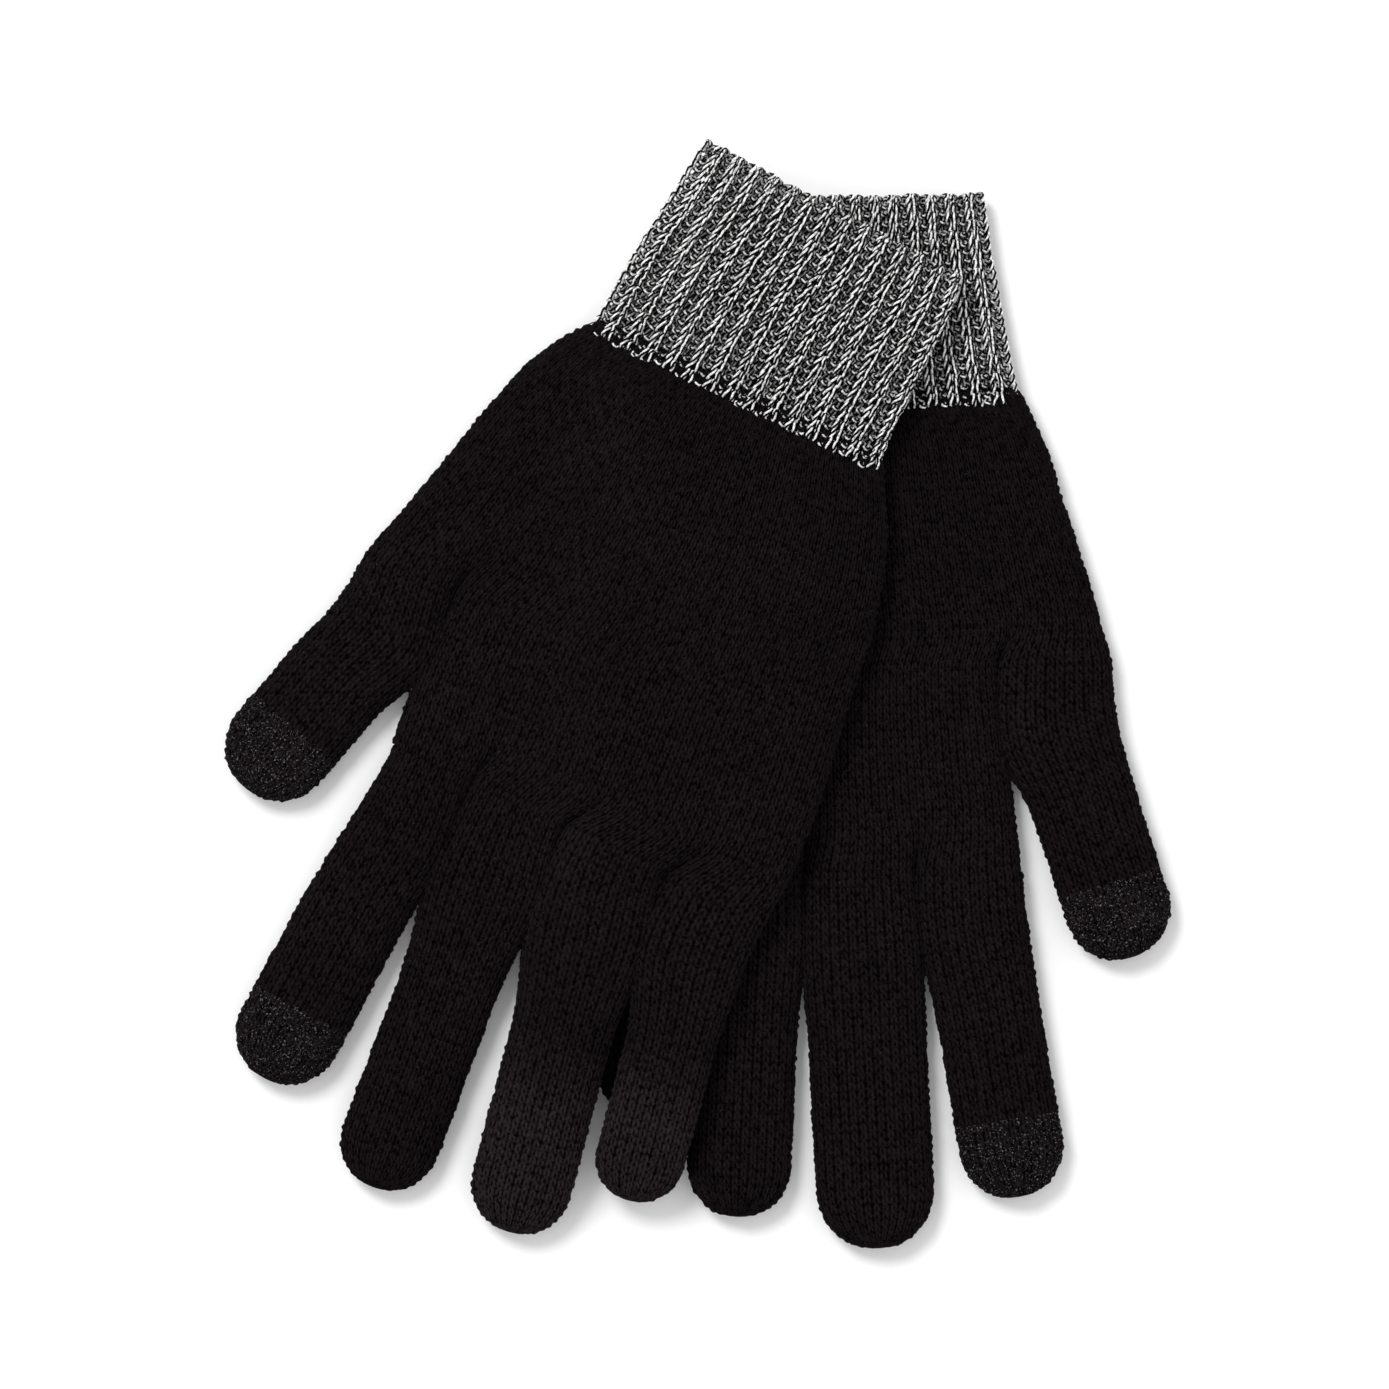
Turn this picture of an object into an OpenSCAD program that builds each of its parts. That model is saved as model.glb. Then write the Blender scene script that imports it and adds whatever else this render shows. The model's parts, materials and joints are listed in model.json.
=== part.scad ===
// A pair of knitted touchscreen gloves lying flat on a table, backs up, the left glove
// draped over the right one. Millimetres, +Z up, origin on the table under the middle
// of the pair. Every glove is drawn in its own plan (u towards the little finger,
// v towards the fingertips, origin in the middle of the cuff seam), then laid down.

/* [Fabric] */
// Thickness of one layer of brushed knit
wall = 2.1; // [1.5:0.1:2.4]
// Height of a glove lying flat, two layers with air between them
flat_h = 10; // [9.6:0.1:12]
// Air between the draped glove and the one under it
lay_gap = 0.6; // [0.3:0.1:2]
// Width of the strip in which the draped glove climbs onto the other
climb_w = 26; // [22:1:34]
// How far before the other glove's edge that strip ends
climb_early = 4; // [0:1:6]

/* [Cuff] */
// Width of the cuff where it joins the hand
seam_w = 76.4; // [74:0.2:80]
// Width of the cuff at its mouth
mouth_w = 68; // [60:1:72]
// Length of the rib from the seam to the mouth
cuff_len = 49; // [40:1:60]
// Length of the turned start-up edge at the mouth
edge_len = 2.6; // [2:0.1:4]
// Number of elastic threads laid into each cuff
elastic_count = 6; // [3:1:8]
// Diameter of one elastic thread
elastic_d = 0.6; // [0.4:0.1:0.8]

/* [Hand] */
// Distance from the cuff seam to the line where the fingers begin
left_root_v = 107.6; // [104:0.2:112]
// The same distance on the right glove
right_root_v = 110.4; // [106:0.2:114]
// Distance from the cuff seam to the line where the thumb begins
left_thumb_v = 71.6; // [69:0.2:74]
// The same distance on the right glove
right_thumb_v = 62.6; // [60:0.2:64]
// Half of the clearance slot between a finger and the hand
root_slot = 1.3; // [1.2:0.1:1.6]
// Gap between two neighbouring fingers at their roots
side_gap = 0.6; // [0.4:0.1:1]

/* [Touch tips] */
// Length of the conductive yarn area at the end of thumb and index
touch_len = 18.5; // [14:0.5:22]

/* [Hidden] */
black = "#1b1a1c";
heather = "#3a383a";
marl = "#9a9a98";
rubber = "#c9c5bc";

// A finger: [u and v of the root's middle, angle outwards, root width, tip width, length]
// in the order thumb, index, middle, ring, little
LEFT_FINGERS = [
    [-51, left_thumb_v, -10, 23, 26, 61], [-26.6, left_root_v, -1.2, 21.4, 25.4, 82],
    [-3.9, left_root_v, 6.2, 24, 26, 94.5], [21.2, left_root_v, 10, 26.2, 25.4, 89],
    [46.9, left_root_v, 11.4, 25.2, 20.5, 72]
];
RIGHT_FINGERS = [
    [-42.9, right_thumb_v, -12.6, 25.8, 24.6, 70], [-20.8, right_root_v, -6.4, 23.6, 24, 76],
    [4.2, right_root_v, -0.8, 26.4, 28, 86], [30, right_root_v, 3.6, 25.2, 24, 78],
    [51.4, right_root_v, 8, 17.6, 20, 54]
];
// Outlines of the hand as [v, u]: along the thumb's outer edge, along the palm under the
// thumb, and along the little finger's side.
LEFT_THUMB_SIDE = [[0, -38.2], [10, -45], [25, -50.4], [40, -54.4], [55, -58.2], [69, -62]];
LEFT_PALM_SIDE = [[0, -38.2], [75, -39.4], [110, -37.6]];
LEFT_LITTLE_SIDE = [[0, 38.2], [14, 45.5], [28, 50.6], [52, 54.8], [90, 60], [110, 59.8]];
RIGHT_THUMB_SIDE = [[0, -38.2], [12, -43], [24, -46.4], [36, -49.6], [48, -52.6], [60, -55.4]];
RIGHT_PALM_SIDE = [[0, -38.2], [20, -36], [64, -29.6], [112, -32.8]];
RIGHT_LITTLE_SIDE = [[0, 38.2], [27, 46.5], [52, 52], [90, 59.6], [112, 60.4]];
// A glove: [seam middle in the pair's frame, turn of its plan, mirrored, draped, outlines,
// fingers, v of the finger roots, v of the thumb root]
RIGHT = [[38.2, 68.2], 182, -1, false, RIGHT_THUMB_SIDE, RIGHT_PALM_SIDE, RIGHT_LITTLE_SIDE,
    RIGHT_FINGERS, right_root_v, right_thumb_v];
LEFT = [[9.3, 69.3], 153.8, 1, true, LEFT_THUMB_SIDE, LEFT_PALM_SIDE, LEFT_LITTLE_SIDE,
    LEFT_FINGERS, left_root_v, left_thumb_v];
THUMB = 0;
INDEX = 1;
MIDDLE = 2;
RING = 3;
LITTLE = 4;
round_steps = 6;        // facets round one edge of a flattened tube
tip_steps = 5;          // rings in a rounded fingertip

// The edge of the right glove that lies hidden under the left one
function hidden_edge(y) = -13 + 0.143 * y;
function smooth(t) = let (s = min(1, max(0, t))) s * s * (3 - 2 * s);
// Height of whatever the draped glove lies on
function lay(x, y) = (flat_h + lay_gap)
    * smooth((x - hidden_edge(y) + climb_early + climb_w) / climb_w) * smooth((y + 128) / 31);

// A point of a glove's plan, laid down in the pair's frame
function place(g, p) = let (
    s = sin(g[1]), c = cos(g[1]),
    u = g[2] * p.x,
    x = g[0].x - u * c - p.y * s,
    y = g[0].y - u * s + p.y * c
) [x, y, p.z + (g[3] ? lay(x, y) : 0)];

// A closed ring of points round a flattened tube, from edge point a to edge point b. It
// runs the other way on the mirrored glove, so that every surface faces outwards.
function ring(g, a, b, h, flat_steps) = let (
    w = norm(b - a), d = (b - a) / w, r = min(h, w / 2 - 0.01), mid = flat_h / 2,
    span = w - 2 * r,
    points = [
        for (i = [0 : round_steps]) let (q = 90 + 180 * i / round_steps, e = a + r * (1 + cos(q)) * d)
            place(g, [e.x, e.y, mid + h * sin(q)]),
        for (i = [1 : flat_steps - 1]) let (e = a + (r + span * i / flat_steps) * d)
            place(g, [e.x, e.y, mid - h]),
        for (i = [0 : round_steps]) let (q = -90 + 180 * i / round_steps, e = b - r * (1 - cos(q)) * d)
            place(g, [e.x, e.y, mid + h * sin(q)]),
        for (i = [1 : flat_steps - 1]) let (e = b - (r + span * i / flat_steps) * d)
            place(g, [e.x, e.y, mid + h])
    ],
    n = len(points)
) [for (i = [0 : n - 1]) points[g[2] > 0 ? i : n - 1 - i]];

function middle(points) = [for (k = [0 : 2]) let (c = [for (p = points) p[k]]) (min(c) + max(c)) / 2];

// A hollow tube skinned over outer and inner rings, which all have the same number of
// points. It is open at both ends, or closed at the last ring.
module tube(outer, inner, closed = false) {
    n = len(outer[0]);
    m = len(outer);
    i0 = m * n;                                 // where the inner points start
    mid = 2 * m * n;                            // the two middles of a closed end
    outer_side = [for (j = [0 : m - 2], i = [0 : n - 1]) let (k = (i + 1) % n, a = j * n)
        each [[a + i, a + n + i, a + n + k], [a + i, a + n + k, a + k]]];
    inner_side = [for (j = [0 : m - 2], i = [0 : n - 1]) let (k = (i + 1) % n, a = i0 + j * n)
        each [[a + n + k, a + n + i, a + i], [a + k, a + n + k, a + i]]];
    rim = [for (i = [0 : n - 1]) let (k = (i + 1) % n) each [[k, i0 + i, i], [k, i0 + k, i0 + i]]];
    far = (m - 1) * n;
    far_rim = [for (i = [0 : n - 1]) let (k = (i + 1) % n)
        each [[far + i, i0 + far + i, far + k], [i0 + far + i, i0 + far + k, far + k]]];
    caps = [for (i = [0 : n - 1]) let (k = (i + 1) % n)
        each [[far + i, mid, far + k], [i0 + far + k, mid + 1, i0 + far + i]]];
    polyhedron(
        points = concat([for (r = outer) each r], [for (r = inner) each r],
            [middle(outer[m - 1]), middle(inner[m - 1])]),
        faces = concat(outer_side, inner_side, rim, closed ? caps : far_rim), convexity = 8);
}

// Middle, half width and half height of a finger, at s along it, inset by t
function finger_ring(g, f, s, t, flat_steps) = let (
    a = f[2], tip_r = 0.5 * f[4], inside = f[5] - t,
    bend = max(0, (s - inside + tip_r - t) / (tip_r - t)),
    round = sqrt(max(0.03, 1 - bend * bend)),
    half = (0.5 * (f[3] + (f[4] - f[3]) * min(1, s / (0.6 * f[5]))) - 0.5 * side_gap - t) * round,
    turn = a * min(1, max(0, s) / 20),
    mid = [f.x, f.y] + s * [sin(a), cos(a)],
    d = half * [cos(turn), -sin(turn)]
) ring(g, mid - d, mid + d, (0.5 * flat_h - t) * pow(round, 0.6), flat_steps);

// Stations along a finger from s0 to s1, closer together where the tip is round
function stations(f, s0, s1, t) = let (
    turn_s = f[5] - 0.5 * f[4],
    closed = s1 >= f[5],
    end = closed ? turn_s : s1
) concat([for (i = [0 : 6]) s0 + (end - s0) * i / 6],
    closed ? [for (i = [1 : tip_steps]) turn_s + (f[5] - t - turn_s) * sin(90 * i / tip_steps)] : []);

// A length of hollow finger stall, closed at the tip when s1 reaches it
module stall(g, f, s0, s1) {
    flat_steps = 4;
    tube([for (s = stations(f, s0, s1, 0)) finger_ring(g, f, s, 0, flat_steps)],
        [for (s = stations(f, s0, s1, wall)) finger_ring(g, f, s, wall, flat_steps)], s1 >= f[5]);
}

module finger(g, n) {
    f = g[7][n];
    has_touch_tip = n == THUMB || n == INDEX;
    pinned = !g[3] && (n == RING || n == LITTLE);
    color(black)
        stall(g, f, pinned ? -root_slot : root_slot, has_touch_tip ? f[5] - touch_len : f[5]);
}

module touch_tip(g, n) {
    f = g[7][n];
    color(heather) stall(g, f, f[5] - touch_len, f[5]);
}

// A length of the palm's tube from v0 to v1, with the outline of its thumb side given
module palm(g, thumb_side, v0, v1, steps, flat_steps) {
    function rings(t) = [for (i = [0 : steps]) let (v = v0 + (v1 - v0) * i / steps)
        ring(g, [lookup(v, thumb_side) + t, v], [lookup(v, g[6]) - t, v], 0.5 * flat_h - t, flat_steps)];
    color(black) tube(rings(0), rings(wall));
}

// The five-finger part of the palm, between the cuff and the thumb
module lower_palm(g) palm(g, g[4], 0, g[9] - root_slot, 8, 18);

// The four-finger part of the palm, between the thumb and the finger roots
module upper_palm(g) palm(g, g[5], g[9] - root_slot, g[8] - root_slot, 4, 16);

// Half width of the cuff at v, which is negative towards the mouth
function cuff_half(v) = 0.5 * (seam_w + (mouth_w - seam_w) * -v / cuff_len);

module cuff_length(g, v0, v1) {
    steps = max(1, round((v0 - v1) / 5));
    function rings(t) = [for (i = [steps : -1 : 0])
        let (v = v0 + (v1 - v0) * i / steps, w = cuff_half(v) - t)
        ring(g, [-w, v], [w, v], 0.5 * flat_h - t, 14)];
    tube(rings(0), rings(wall));
}

module cuff(g) {
    color(marl) cuff_length(g, 0, edge_len - cuff_len);
}

module cuff_edge(g) {
    color(marl) cuff_length(g, edge_len - cuff_len, -cuff_len);
}

// One closed loop of thread along the inside of the cuff at v
module elastic_loop(g, v) {
    sides = 4;
    t = wall + 0.5 * elastic_d + 0.3;
    w = cuff_half(v) - t;
    path = ring(g, [-w, v], [w, v], 0.5 * flat_h - t, 14);
    n = len(path);
    axis = place(g, [0, v - 1, 0]) - place(g, [0, v, 0]);
    points = [for (i = [0 : n - 1]) let (
        along = path[(i + 1) % n] - path[(i + n - 1) % n],
        out = cross(along, [axis.x, axis.y, 0]),
        side = out / norm(out)
    ) for (k = [0 : sides - 1]) let (q = 360 * k / sides)
        path[i] + 0.5 * elastic_d * (cos(q) * side + sin(q) * [axis.x, axis.y, 0])];
    faces = [for (i = [0 : n - 1], k = [0 : sides - 1])
        let (a = i * sides, b = ((i + 1) % n) * sides, l = (k + 1) % sides)
        each [[a + k, a + l, b + l], [a + k, b + l, b + k]]];
    polyhedron(points = points, faces = faces, convexity = 8);
}

module cuff_elastic(g) {
    pitch = (cuff_len - edge_len - 6) / elastic_count;
    color(rubber) for (i = [1 : elastic_count]) elastic_loop(g, -pitch * i);
}

lower_palm(RIGHT);  // right_lower_palm
upper_palm(RIGHT);  // right_upper_palm
finger(RIGHT, THUMB);  // right_thumb
finger(RIGHT, INDEX);  // right_index_finger
finger(RIGHT, MIDDLE);  // right_middle_finger
finger(RIGHT, RING);  // right_ring_finger
finger(RIGHT, LITTLE);  // right_little_finger
touch_tip(RIGHT, THUMB);  // right_thumb_touch_tip
touch_tip(RIGHT, INDEX);  // right_index_touch_tip
cuff(RIGHT);  // right_cuff
cuff_edge(RIGHT);  // right_cuff_edge
cuff_elastic(RIGHT);  // right_cuff_elastic
lower_palm(LEFT);  // left_lower_palm
upper_palm(LEFT);  // left_upper_palm
finger(LEFT, THUMB);  // left_thumb
finger(LEFT, INDEX);  // left_index_finger
finger(LEFT, MIDDLE);  // left_middle_finger
finger(LEFT, RING);  // left_ring_finger
finger(LEFT, LITTLE);  // left_little_finger
touch_tip(LEFT, THUMB);  // left_thumb_touch_tip
touch_tip(LEFT, INDEX);  // left_index_touch_tip
cuff(LEFT);  // left_cuff
cuff_edge(LEFT);  // left_cuff_edge
cuff_elastic(LEFT);  // left_cuff_elastic
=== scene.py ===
"""A pair of knitted touchscreen gloves, laid flat with the left glove over the right one.

Every glove is knitted in its own plan, in millimetres: u runs across the hand towards the
little finger, v from the cuff seam towards the fingertips, and z up from the table. lay_down()
turns the plan into the frame's place, in metres. A tube of knit is a grid with a ring of points
for every course, so wales run on from the palm into the fingers.
"""
import json
import math

import bpy
import numpy as np
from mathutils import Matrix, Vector


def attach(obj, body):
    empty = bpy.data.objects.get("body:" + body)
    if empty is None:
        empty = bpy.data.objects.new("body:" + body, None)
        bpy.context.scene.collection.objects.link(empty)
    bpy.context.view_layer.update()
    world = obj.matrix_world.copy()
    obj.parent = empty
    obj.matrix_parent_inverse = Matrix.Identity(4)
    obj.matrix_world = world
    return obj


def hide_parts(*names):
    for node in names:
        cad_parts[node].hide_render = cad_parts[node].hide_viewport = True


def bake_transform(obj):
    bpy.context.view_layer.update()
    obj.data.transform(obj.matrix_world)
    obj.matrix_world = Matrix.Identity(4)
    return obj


MM = 0.001

# --- Knit ---------------------------------------------------------------------------------
ACROSS = 6              # points across one wale
ALONG = 5               # points along one course
COURSE = 1.9            # mm from one course of the plain knit to the next
RELIEF = 0.44           # mm from the bottom of a stitch to its top
FABRIC = 1.9            # mm from the outer to the inner face of the plain knit
HALF_H = 4.7            # mm, half the height of a glove without its stitches
NECK_SHARE = 0.66       # share of that height left where the palm goes into the cuff
MID_H = 5.0             # mm, height of a glove's middle above what it lies on
BACK_FLAT = 1.25        # how square the section is on the back of the hand
PALM_FLAT = 2.2         # and under the palm
TUCK = 2.4              # mm of the palm inside the cuff
TUCK_IN = 1.2           # mm that each side of the palm is narrower there
PINCH = 18.0            # mm over which a palm closes up into separate stalls
TURN_IN = 14.0          # mm over which a finger turns to its own direction
THUMB_TURN_IN = 24.0    # mm over which a thumb does
SWELL_AT = 0.22         # share of a stall's length from its root to where it swells most
SWELL_W = 0.14          # share of its length over which the swelling fades
TIP_SHARE = 0.52        # length of a stall's round end, in widths
TIP_POWER = 2.15        # how full the round end is
TOUCH_LEN = 18.5        # mm of conductive yarn at the end of a thumb or index
TOUCH_ROUGHNESS = 2.2   # how uneven the conductive knit is, where the black knit is 1
# Painted light: the outer parts of these fingers are coloured paler, as if more brightly lit.
PAINTED_LIGHT_FINGERS = ("left_ring_finger", "left_little_finger")
PAINTED_LIGHT_FROM = 0.42        # share of such a finger's length from its root to where painted light turns it paler
PAINTED_LIGHT_OVER = 0.3         # share of its length over which it does

# --- Cuff ---------------------------------------------------------------------------------
RIBS = 29               # ribs round one cuff, each a knit and a purl wale
WALE = 2.4              # mm from one wale of the rib to the next, about
CUFF_COURSES = 21       # courses from the hand to the start-up edge
LOOP_POINTS = 14        # points along one loop of yarn
STRAND_SIDES = 4
STRAND_R = 0.27         # mm, one of the yarn's four strands
STRAND_OFF = 0.36       # mm from the middle of the yarn to the middle of a strand
LOOP_RISE = 1.50        # mm, half the length of a loop
LOOP_SLANT = 0.50       # mm that a loop's legs lean outwards
LOOP_DEPTH = 0.7        # mm that a loop's legs stand in front of its head
RIB_DEPTH = 0.4         # mm that the knit wales stand in front of the purl wales
RIB_SWELL = 0.06        # how much wider a knit wale is than a purl wale
CUFF_INSET = 2.0        # mm from the cuff's outer face to the middle of its yarn
FIRST_COURSE = {"lift": 0.65, "rise": 1.3}      # the course that lies over the hand's edge
EDGE_COURSE = {"rise": 0.8, "depth": 0.35, "rib": 0.42, "scallop": 0.7}
ELASTIC_R = 0.3         # mm, an elastic thread
ELASTIC_IN = 2.2        # mm from the middle of the yarn inwards to an elastic thread

# --- Draping, as in the CAD ---------------------------------------------------------------
LIFT = 10.6             # mm that the draped glove rises where it lies on the other one
CLIMB_W = 26.0          # mm across the gloves over which it rises
CLIMB_EARLY = 4.0       # mm before the other glove's edge by which it has risen
TIPS_EDGE = 128.0       # mm from the origin to the lowest fingertips
TIPS_W = 31.0           # mm from there over which it rises

FINGERS = ("index_finger", "middle_finger", "ring_finger", "little_finger")


class Stall:
    """The plan of one finger or thumb: the sides of its root, then its angle, width, length and wales."""

    def __init__(self, left, right, angle, tip_w, length, wales):
        self.left, self.right, self.angle = left, right, angle
        self.tip_w, self.length, self.wales = tip_w, length, wales


class Glove:
    """The plan of one glove: outlines as (v, u) points, and its thumb and fingers as stalls."""

    def __init__(self, side, seam, turn, mirror, draped, thumb_v, root_v, thumb_side, palm_side,
                 little_side, thumb, fingers, cuff_left, cuff_right, mouth_slant, cuff_course,
                 finger_swell, thumb_swell):
        self.side, self.seam, self.mirror, self.draped = side, seam, mirror, draped
        self.turn = math.radians(turn)
        self.thumb_v, self.root_v = thumb_v, root_v
        self.thumb_side = smooth_curve(thumb_side)
        self.palm_side = smooth_curve(palm_side)
        self.little_side = smooth_curve(little_side)
        self.thumb, self.fingers = thumb, fingers
        self.cuff_left, self.cuff_right = smooth_curve(cuff_left), smooth_curve(cuff_right)
        self.mouth_slant, self.cuff_course = mouth_slant, cuff_course
        self.finger_swell, self.thumb_swell = finger_swell, thumb_swell
        self.finger_wales = [f.wales for f in fingers]
        self.palm_wales = sum(self.finger_wales)
        self.lower_wales = self.palm_wales + thumb.wales

    def direction(self, u, v):
        """A plan direction in the frame."""
        c, s = math.cos(self.turn), math.sin(self.turn)
        u = self.mirror * u
        return np.array([-u * c - v * s, -u * s + v * c, 0.0])

    def lay_down(self, p):
        """Plan points, in millimetres, to the frame, in metres."""
        c, s = math.cos(self.turn), math.sin(self.turn)
        u, v = self.mirror * p[..., 0], p[..., 1]
        x = self.seam[0] - u * c - v * s
        y = self.seam[1] - u * s + v * c
        z = p[..., 2] + (lay_height(x, y) if self.draped else 0.0)
        return np.stack([x, y, z], -1) * MM


def smoothstep(t):
    t = np.clip(t, 0.0, 1.0)
    return t * t * (3 - 2 * t)


def lay_height(x, y):
    """Height of whatever the draped glove lies on: the table, or the glove under it."""
    hidden_edge = -13 + 0.143 * y
    over_side = smoothstep((x - hidden_edge + CLIMB_EARLY + CLIMB_W) / CLIMB_W)
    over_tips = smoothstep((y + TIPS_EDGE) / TIPS_W)
    return LIFT * over_side * over_tips


def smooth_curve(points):
    """A smooth function through a few (v, u) points."""
    x, y = np.array(points, float).T
    slope = np.gradient(y, x)

    def at(v):
        v = np.clip(v, x[0], x[-1])
        i = np.clip(np.searchsorted(x, v) - 1, 0, len(x) - 2)
        h = x[i + 1] - x[i]
        t = (v - x[i]) / h
        return (y[i] * (2 * t**3 - 3 * t**2 + 1) + y[i + 1] * (3 * t**2 - 2 * t**3)
                + h * (slope[i] * (t**3 - 2 * t**2 + t) + slope[i + 1] * (t**3 - t**2)))
    return at


def wobble(p, wavelength, seed):
    """Smooth noise from -1 to 1 or so at points p, in the units of wavelength."""
    rng = np.random.default_rng(seed)
    out = np.zeros(p.shape[:-1])
    waves = 9
    for _ in range(waves):
        d = rng.normal(size=3)
        d *= 2 * math.pi * rng.uniform(0.7, 1.5) / (wavelength * np.linalg.norm(d))
        out += np.sin(p @ d + rng.uniform(0, 2 * math.pi))
    return out / math.sqrt(waves)


# --- Rings --------------------------------------------------------------------------------
def half_ring(left, right, height, flatness, shares):
    """Points over one half of a flattened tube, from its left to its right edge, spaced by arc length."""
    w = np.linalg.norm(right - left) / 2
    q = np.linspace(-math.pi / 2, math.pi / 2, 241)
    x = w * np.sin(q)
    z = abs(height) * np.sqrt(np.clip(1 - np.abs(np.sin(q)) ** max(2.0, flatness * w / abs(height)), 0, 1))
    run = np.concatenate([[0], np.cumsum(np.hypot(np.diff(x), np.diff(z)))])
    x, z = np.interp(shares * run[-1], run, x), np.interp(shares * run[-1], run, z)
    mid, d = (left + right) / 2, (right - left) / (2 * w)
    return np.stack([mid[0] + d[0] * x, mid[1] + d[1] * x, MID_H + math.copysign(1, height) * z], -1)


def ring(left, right, height, wales, across=ACROSS):
    """A closed ring: over the back from left to right, then back under the palm."""
    left, right = np.array(left, float), np.array(right, float)
    n = wales * across
    shares = np.arange(n + 1) / n
    top = half_ring(left, right, height, BACK_FLAT, shares)
    under = half_ring(left, right, -height, PALM_FLAT, shares)
    return np.concatenate([top, under[-2:0:-1]])


def group_of(row, wales, first, count, across=ACROSS):
    """The ring of one group of wales, cut out of its parent's ring where that has closed up."""
    n, a, b = wales * across, first * across, (first + count) * across
    return np.concatenate([row[a:b + 1], row[2 * n - b + 1:2 * n - a]])


def joined(rings):
    """A parent's ring put together from its groups' rings, left to right."""
    top, under = [], []
    for i, r in enumerate(rings):
        n = len(r) // 2
        top.append(r[:n + 1] if i == len(rings) - 1 else r[:n])
        under.append(np.concatenate([r[n + 1:], r[:1]]) if i else r[n + 1:])
    return np.concatenate(top + under[::-1])


def palm_row(v, left, right, groups, borders, pinch, height, across=ACROSS, inset=0.0):
    """One course of a palm. Near its end, where pinch goes to 1, it closes up into a ring for each group."""
    wales = sum(groups)
    whole = ring((left + inset, v), (right - inset, v), height - inset, wales, across)
    if pinch <= 0:
        return whole
    edges = [left]
    first = 0
    for count, border in zip(groups, borders):
        first += count
        edges.append(whole[first * across, 0] * (1 - pinch) + border * pinch)
    edges.append(right)
    parts = [ring((a + inset, v), (b - inset, v), height - inset, n, across)
             for a, b, n in zip(edges, edges[1:], groups)]
    closed = joined(parts)
    return whole * (1 - pinch) + closed * pinch


def stall_axis(glove, root_v, stall, s):
    """Middle and direction of a stall at s along it."""
    steps = np.linspace(0, max(s, 0.001), 25)
    turn_in = THUMB_TURN_IN if stall is glove.thumb else TURN_IN
    turned = np.radians(stall.angle) * smoothstep(steps / turn_in)
    d = np.stack([np.sin(turned), np.cos(turned)], -1)
    run = ((d[1:] + d[:-1]) / 2 * np.diff(steps)[:, None]).sum(0)
    root = np.array([(stall.left + stall.right) / 2, root_v])
    return root + (run if s > 0 else np.array([0.0, s])), d[-1]


def tip_shrink(stall, s):
    """The share of its width that a stall has left at s, which falls to 0 round its tip."""
    tip_r = TIP_SHARE * stall.tip_w
    bend = np.clip((s - (stall.length - tip_r)) / tip_r, 0, 1)
    return np.sqrt(np.clip(1 - bend ** TIP_POWER, 0, 1))


def stall_row(glove, root_v, stall, s, height, across=ACROSS, inset=0.0):
    """One course of a stall, at s along it. Near its root it swells towards its neighbours."""
    mid, d = stall_axis(glove, root_v, stall, s)
    across_dir = np.array([d[1], -d[0]])
    grow = smoothstep(s / (0.55 * stall.length))
    width = (stall.right - stall.left) * (1 - grow) + stall.tip_w * grow
    swell = math.exp(-((s / stall.length - SWELL_AT) / SWELL_W) ** 2)
    swell *= glove.thumb_swell if stall is glove.thumb else glove.finger_swell
    if stall in glove.fingers[1:-1]:
        width += 2 * swell
    else:
        width += swell
        mid = mid - across_dir * np.sign(stall.left + stall.right) * swell / 2
    shrink = tip_shrink(stall, s)
    half = max(0.55, width / 2 * shrink - inset)
    h = max(0.5, height * shrink ** 0.55 - inset)
    return ring(mid - across_dir * half, mid + across_dir * half, h, stall.wales, across)


def stall_stations(stall, s0, s1, along):
    """Places of the courses along a stall, evenly spaced by the length of its outline."""
    tip_r = TIP_SHARE * stall.tip_w
    straight = np.linspace(0, stall.length - tip_r, 200, endpoint=False)
    tip = stall.length - tip_r + tip_r * np.linspace(0, 1, 400) ** 0.7 * 0.995
    s = np.concatenate([straight, tip])
    half = stall.tip_w / 2 * tip_shrink(stall, s)
    run = np.concatenate([[0], np.cumsum(np.hypot(np.diff(s), np.diff(half)))])
    a, b = np.interp(s0, s, run), np.interp(min(s1, s[-1]), s, run)
    courses = max(2, round((b - a) / COURSE))
    return np.interp(np.linspace(a, b, courses * along + 1), run, s)


# --- Grids of the plain knit ----------------------------------------------------------------
class Tube:
    """A tube of knit: rows of rings, outer and inner, with the neighbouring rows that its ends join."""

    def __init__(self, rows, inner, wales, before=None, after=None, tip=False):
        self.rows, self.inner, self.wales = rows, inner, wales
        self.before, self.after, self.tip = before, after, tip


def palm_rows(glove, kind, along, across, inset=0.0):
    """Rows of the palm's lower part, with the thumb's wales, or of its upper part."""
    if kind == "lower":
        v0, v1, groups = -TUCK, glove.thumb_v, [glove.thumb.wales, glove.palm_wales]
        left, borders = glove.thumb_side, [glove.thumb.right]
    else:
        v0, v1, groups = glove.thumb_v, glove.root_v, glove.finger_wales
        left, borders = glove.palm_side, [f.right for f in glove.fingers[:-1]]
    courses = max(2, round((v1 - max(v0, 0)) / COURSE)) + (1 if v0 < 0 else 0)
    vs = np.linspace(v0, v1, courses * along + 1)
    rows = []
    for v in vs:
        height = HALF_H
        if kind == "lower":
            height *= NECK_SHARE + (1 - NECK_SHARE) * float(smoothstep((v + TUCK) / 9))
        side_in = TUCK_IN * smoothstep(-v / TUCK) if v < 0 else 0.0
        pinch = float(smoothstep((v - v1 + PINCH) / PINCH)) ** 1.3
        rows.append(palm_row(v, float(left(v)) + side_in, float(glove.little_side(v)) - side_in, groups,
                             borders, pinch, height, across, inset))
    return np.array(rows)


def stall_rows(glove, root_v, stall, s0, s1, along, across, inset=0.0):
    """Rows of a stall from s0 to s1 along it."""
    return np.array([stall_row(glove, root_v, stall, s, HALF_H, across, inset)
                     for s in stall_stations(stall, s0, s1, along)])


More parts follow.
